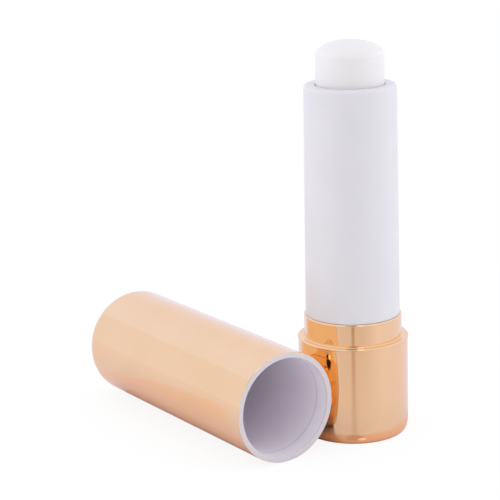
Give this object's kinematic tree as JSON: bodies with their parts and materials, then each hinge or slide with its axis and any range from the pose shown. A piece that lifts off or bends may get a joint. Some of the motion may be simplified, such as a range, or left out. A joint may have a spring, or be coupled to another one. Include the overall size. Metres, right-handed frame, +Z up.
{
  "type": "lip balm stick",
  "caption": "Twist-up lip balm stick standing on its base with the balm partly raised; its metal-shelled cap lies beside it, mouth forward.",
  "frame": {"origin": "middle of the base's underside, on the surface that it stands on", "axes": "+Z up the stick, +Y along the lying cap from its mouth to its closed end, +X away from the cap"},
  "size_m": [0.0396, 0.0555, 0.071],
  "materials": {
    "gold_metal": "bright anodised rose gold, mirror gloss",
    "white_barrel": "satin white moulding",
    "white_liner": "satin white moulding",
    "natural_plastic": "unpigmented moulding",
    "steel_weight": "turned",
    "silicone": "smooth",
    "balm_wax": "smooth wax"
  },
  "bodies": {
    "base": {"base_shell": "gold_metal", "base_weight": "steel_weight", "base_insert": "natural_plastic", "collar_band": "gold_metal", "fork_tube": "natural_plastic", "brake_ring": "silicone"},
    "barrel": {"barrel": "white_barrel", "spiral_sleeve": "natural_plastic"},
    "carrier": {"carrier_cup": "natural_plastic", "balm": "balm_wax"},
    "cap": {"cap_shell": "gold_metal", "cap_liner": "white_liner"}
  },
  "joints": [
    {"name": "barrel_turn", "type": "hinge", "parent": "base", "child": "barrel", "pos_m": [0, 0, 0.0219], "axis": [0, 0, -1], "range_deg": [-147, 423.5]},
    {"name": "carrier_rise", "type": "slide", "parent": "base", "child": "carrier", "axis": [0, 0, 1], "range_m": [-0.009, 0.0259]},
    {"name": "cap_pull", "type": "slide", "parent": "base", "child": "cap", "axis": [0, 1, 0], "range_m": [0, 0.0454]}
  ],
  "couplings": [
    {"joint": "carrier_rise", "follows": "barrel_turn", "m_per_rad": 0.0035014}
  ]
}
